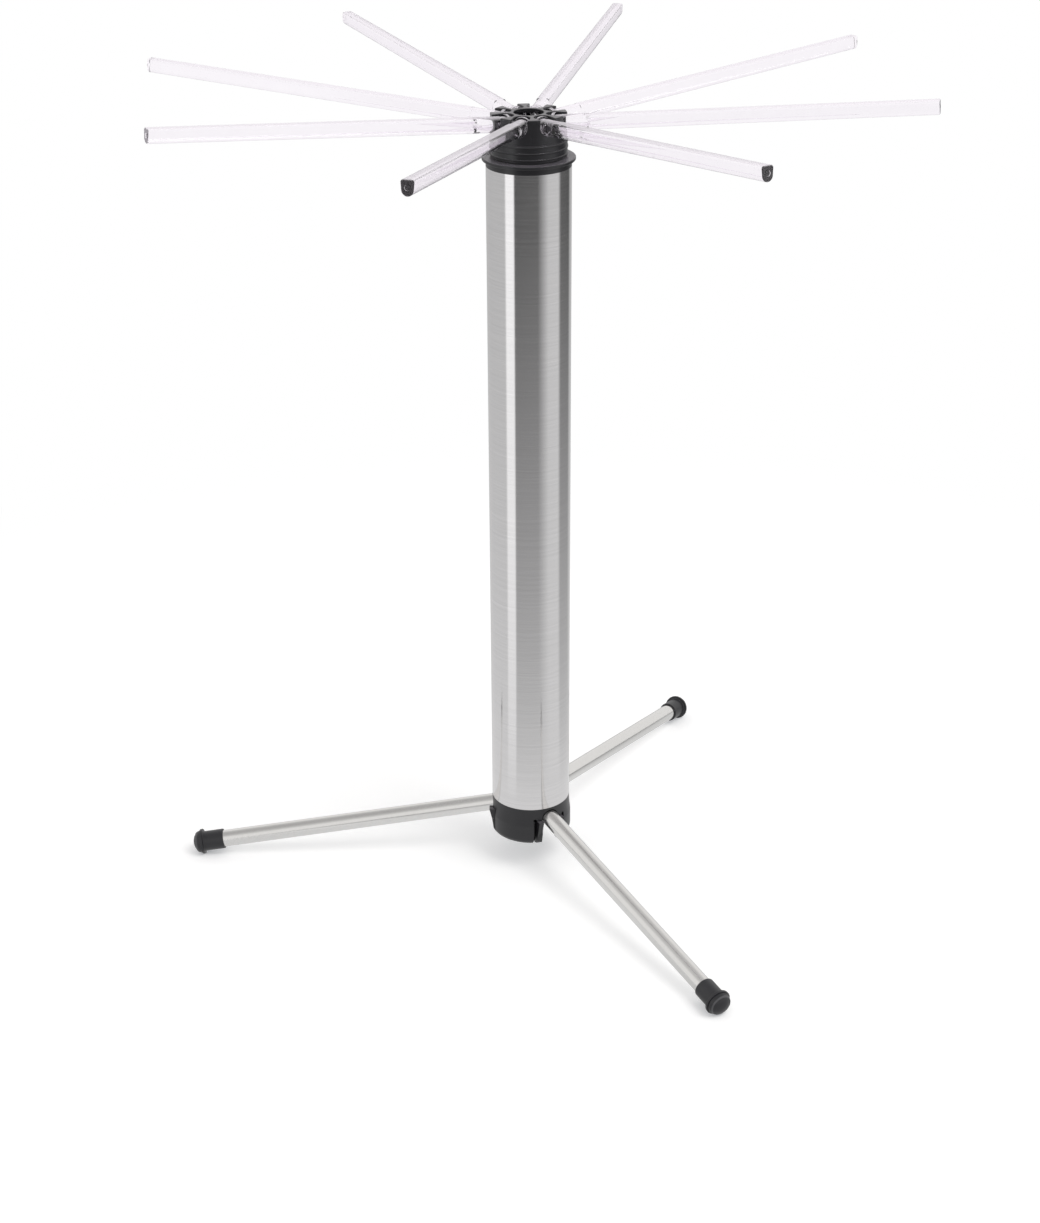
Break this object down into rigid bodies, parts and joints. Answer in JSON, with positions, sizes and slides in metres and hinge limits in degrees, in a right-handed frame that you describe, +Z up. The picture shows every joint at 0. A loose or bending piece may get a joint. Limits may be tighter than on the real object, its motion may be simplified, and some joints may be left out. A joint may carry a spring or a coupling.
{
  "type": "pasta drying rack",
  "caption": "Collapsible pasta drying rack: an upright steel tube on splayed folding legs, with a crown of clear arms that swing up to be stowed.",
  "frame": {"origin": "on the tube's axis at the ground that the feet stand on", "axes": "+Z up along the tube, +X along the first arm seen from above"},
  "size_m": [0.4654, 0.4654, 0.5093],
  "materials": {
    "steel": "brushed around the tube",
    "leg_steel": "satin",
    "black_plastic": "satin moulded",
    "clear_plastic": "clear, faint lilac tint",
    "black_rubber": "satin"
  },
  "bodies": {
    "rack_body": {"tube": "steel", "hub": "black_plastic", "base_cap": "black_plastic", "divider": "black_plastic"},
    "arm_1": {"arm_1": "clear_plastic"},
    "arm_2": {"arm_2": "clear_plastic"},
    "arm_3": {"arm_3": "clear_plastic"},
    "arm_4": {"arm_4": "clear_plastic"},
    "arm_5": {"arm_5": "clear_plastic"},
    "arm_6": {"arm_6": "clear_plastic"},
    "arm_7": {"arm_7": "clear_plastic"},
    "arm_8": {"arm_8": "clear_plastic"},
    "leg_1": {"leg_tube_1": "leg_steel", "leg_plug_1": "black_plastic", "foot_1": "black_rubber"},
    "leg_2": {"leg_tube_2": "leg_steel", "leg_plug_2": "black_plastic", "foot_2": "black_rubber"},
    "leg_3": {"leg_tube_3": "leg_steel", "leg_plug_3": "black_plastic", "foot_3": "black_rubber"}
  },
  "joints": [
    {"name": "arm_1_swing", "type": "hinge", "parent": "rack_body", "child": "arm_1", "pos_m": [0.01535, 0, 0.4846], "axis": [0, -1, 0], "range_deg": [0, 84.5]},
    {"name": "arm_2_swing", "type": "hinge", "parent": "rack_body", "child": "arm_2", "pos_m": [0.01086, 0.01086, 0.4846], "axis": [0.7071, -0.7071, 0], "range_deg": [0, 84.5]},
    {"name": "arm_3_swing", "type": "hinge", "parent": "rack_body", "child": "arm_3", "pos_m": [0, 0.01535, 0.4846], "axis": [1, 0, 0], "range_deg": [0, 84.5]},
    {"name": "arm_4_swing", "type": "hinge", "parent": "rack_body", "child": "arm_4", "pos_m": [-0.01086, 0.01086, 0.4846], "axis": [0.7071, 0.7071, 0], "range_deg": [0, 84.5]},
    {"name": "arm_5_swing", "type": "hinge", "parent": "rack_body", "child": "arm_5", "pos_m": [-0.01535, 0, 0.4846], "axis": [0, 1, 0], "range_deg": [0, 84.5]},
    {"name": "arm_6_swing", "type": "hinge", "parent": "rack_body", "child": "arm_6", "pos_m": [-0.01086, -0.01086, 0.4846], "axis": [-0.7071, 0.7071, 0], "range_deg": [0, 84.5]},
    {"name": "arm_7_swing", "type": "hinge", "parent": "rack_body", "child": "arm_7", "pos_m": [0, -0.01535, 0.4846], "axis": [-1, 0, 0], "range_deg": [0, 84.5]},
    {"name": "arm_8_swing", "type": "hinge", "parent": "rack_body", "child": "arm_8", "pos_m": [0.01086, -0.01086, 0.4846], "axis": [-0.7071, -0.7071, 0], "range_deg": [0, 84.5]},
    {"name": "leg_1_swing", "type": "hinge", "parent": "rack_body", "child": "leg_1", "pos_m": [0.01117, -0.01117, 0.0379], "axis": [0.7071, 0.7071, 0], "range_deg": [0, 81.4]},
    {"name": "leg_2_swing", "type": "hinge", "parent": "rack_body", "child": "leg_2", "pos_m": [0.00409, 0.01526, 0.0379], "axis": [-0.9659, 0.2588, 0], "range_deg": [0, 81.4]},
    {"name": "leg_3_swing", "type": "hinge", "parent": "rack_body", "child": "leg_3", "pos_m": [-0.01526, -0.00409, 0.0379], "axis": [0.2588, -0.9659, 0], "range_deg": [0, 81.4]}
  ]
}
